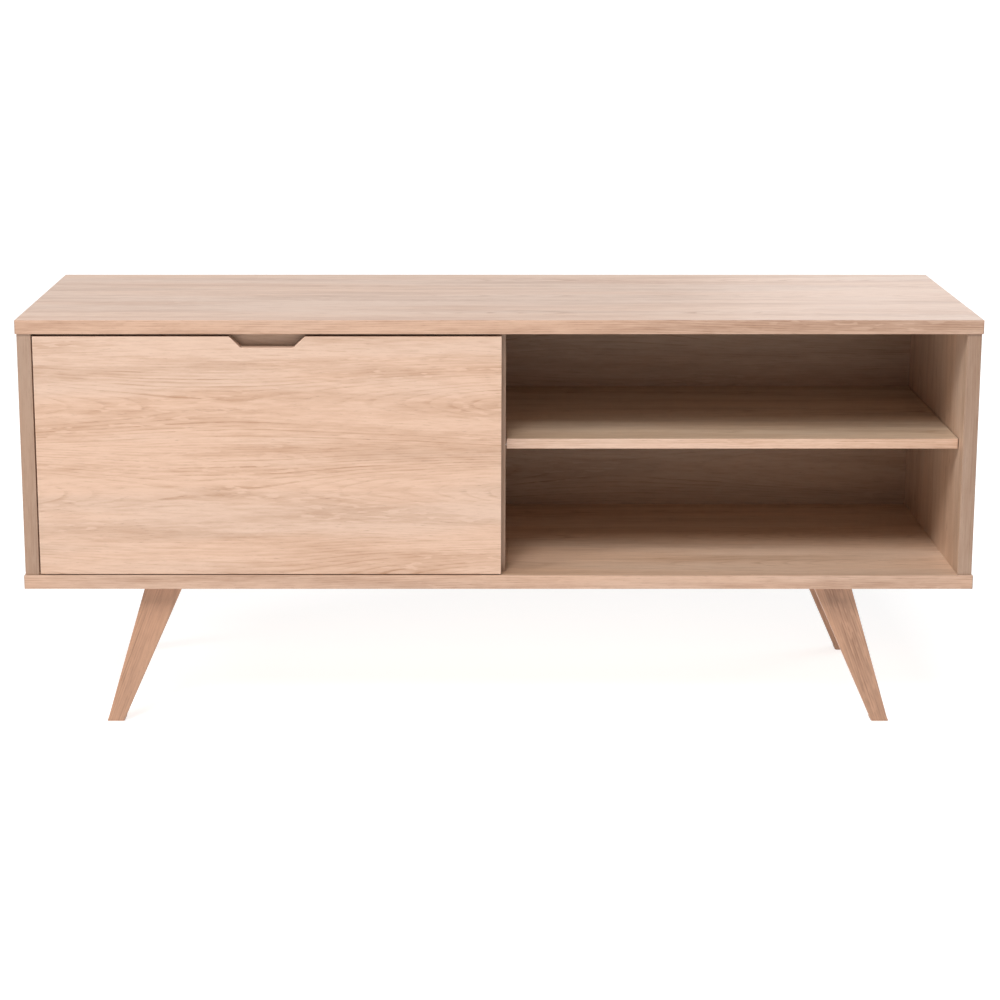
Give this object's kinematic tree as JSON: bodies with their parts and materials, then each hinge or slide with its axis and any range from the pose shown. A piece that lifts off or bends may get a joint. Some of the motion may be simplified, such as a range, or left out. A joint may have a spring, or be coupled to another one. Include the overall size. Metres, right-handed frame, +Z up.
{
  "type": "tv bench with a sliding door",
  "caption": "Low oak TV bench on splayed legs: a top-hung sliding door with a finger cut-out covers either bay, each bay with a shelf.",
  "frame": {"origin": "on the floor, at the centre of the outline", "axes": "+X to the right seen from the front, +Y towards the back, +Z up"},
  "size_m": [1.5, 0.45, 0.665],
  "materials": {
    "oak_veneer": "white-pigmented matt oil on oak veneer",
    "oak_solid": "white-pigmented matt oil on solid oak",
    "beech_dowel": "raw fluted beech",
    "track_aluminium": "bronze-anodised extrusion",
    "nylon": "dark moulded nylon",
    "zinc_steel": "zinc-plated steel"
  },
  "bodies": {
    "carcass": {"back_panel": "oak_veneer", "back_screws": "zinc_steel", "bottom_panel": "oak_veneer", "divider_panel": "oak_veneer", "door_track": "track_aluminium", "dowels_divider": "beech_dowel", "dowels_left_side": "beech_dowel", "dowels_right_side": "beech_dowel", "floor_guide": "zinc_steel", "floor_guide_screw": "zinc_steel", "front_rail": "oak_veneer", "glide_front_left": "nylon", "glide_front_right": "nylon", "glide_rear_left": "nylon", "glide_rear_right": "nylon", "left_side_panel": "oak_veneer", "leg_bolts": "zinc_steel", "leg_dowels": "beech_dowel", "leg_front_left": "oak_solid", "leg_front_right": "oak_solid", "leg_insert_nuts": "zinc_steel", "leg_rear_left": "oak_solid", "leg_rear_right": "oak_solid", "rail_dowels": "beech_dowel", "right_side_panel": "oak_veneer", "shelf_left": "oak_veneer", "shelf_pins_left": "zinc_steel", "shelf_pins_right": "zinc_steel", "shelf_right": "oak_veneer", "top_panel": "oak_veneer", "track_screws": "zinc_steel", "track_stop_left": "nylon", "track_stop_right": "nylon"},
    "door": {"door_panel": "oak_veneer", "carriage_left": "zinc_steel", "carriage_right": "zinc_steel", "hanger_screws": "zinc_steel"},
    "wheelset_left_outer": {"axle_left_outer": "zinc_steel", "wheels_left_outer": "nylon"},
    "wheelset_left_inner": {"axle_left_inner": "zinc_steel", "wheels_left_inner": "nylon"},
    "wheelset_right_outer": {"axle_right_outer": "zinc_steel", "wheels_right_outer": "nylon"},
    "wheelset_right_inner": {"axle_right_inner": "zinc_steel", "wheels_right_inner": "nylon"}
  },
  "joints": [
    {"name": "door_slide", "type": "slide", "parent": "carcass", "child": "door", "axis": [1, 0, 0], "range_m": [0, 0.72]},
    {"name": "wheelset_left_outer_spin", "type": "hinge", "parent": "door", "child": "wheelset_left_outer", "pos_m": [-0.673, -0.213, 0.649], "axis": [0, 1, 0], "continuous": true},
    {"name": "wheelset_left_inner_spin", "type": "hinge", "parent": "door", "child": "wheelset_left_inner", "pos_m": [-0.625, -0.213, 0.649], "axis": [0, 1, 0], "continuous": true},
    {"name": "wheelset_right_outer_spin", "type": "hinge", "parent": "door", "child": "wheelset_right_outer", "pos_m": [-0.047, -0.213, 0.649], "axis": [0, 1, 0], "continuous": true},
    {"name": "wheelset_right_inner_spin", "type": "hinge", "parent": "door", "child": "wheelset_right_inner", "pos_m": [-0.095, -0.213, 0.649], "axis": [0, 1, 0], "continuous": true}
  ],
  "couplings": [
    {"joint": "wheelset_left_outer_spin", "follows": "door_slide", "rad_per_m": 232.56},
    {"joint": "wheelset_left_inner_spin", "follows": "door_slide", "rad_per_m": 232.56},
    {"joint": "wheelset_right_outer_spin", "follows": "door_slide", "rad_per_m": 232.56},
    {"joint": "wheelset_right_inner_spin", "follows": "door_slide", "rad_per_m": 232.56}
  ]
}
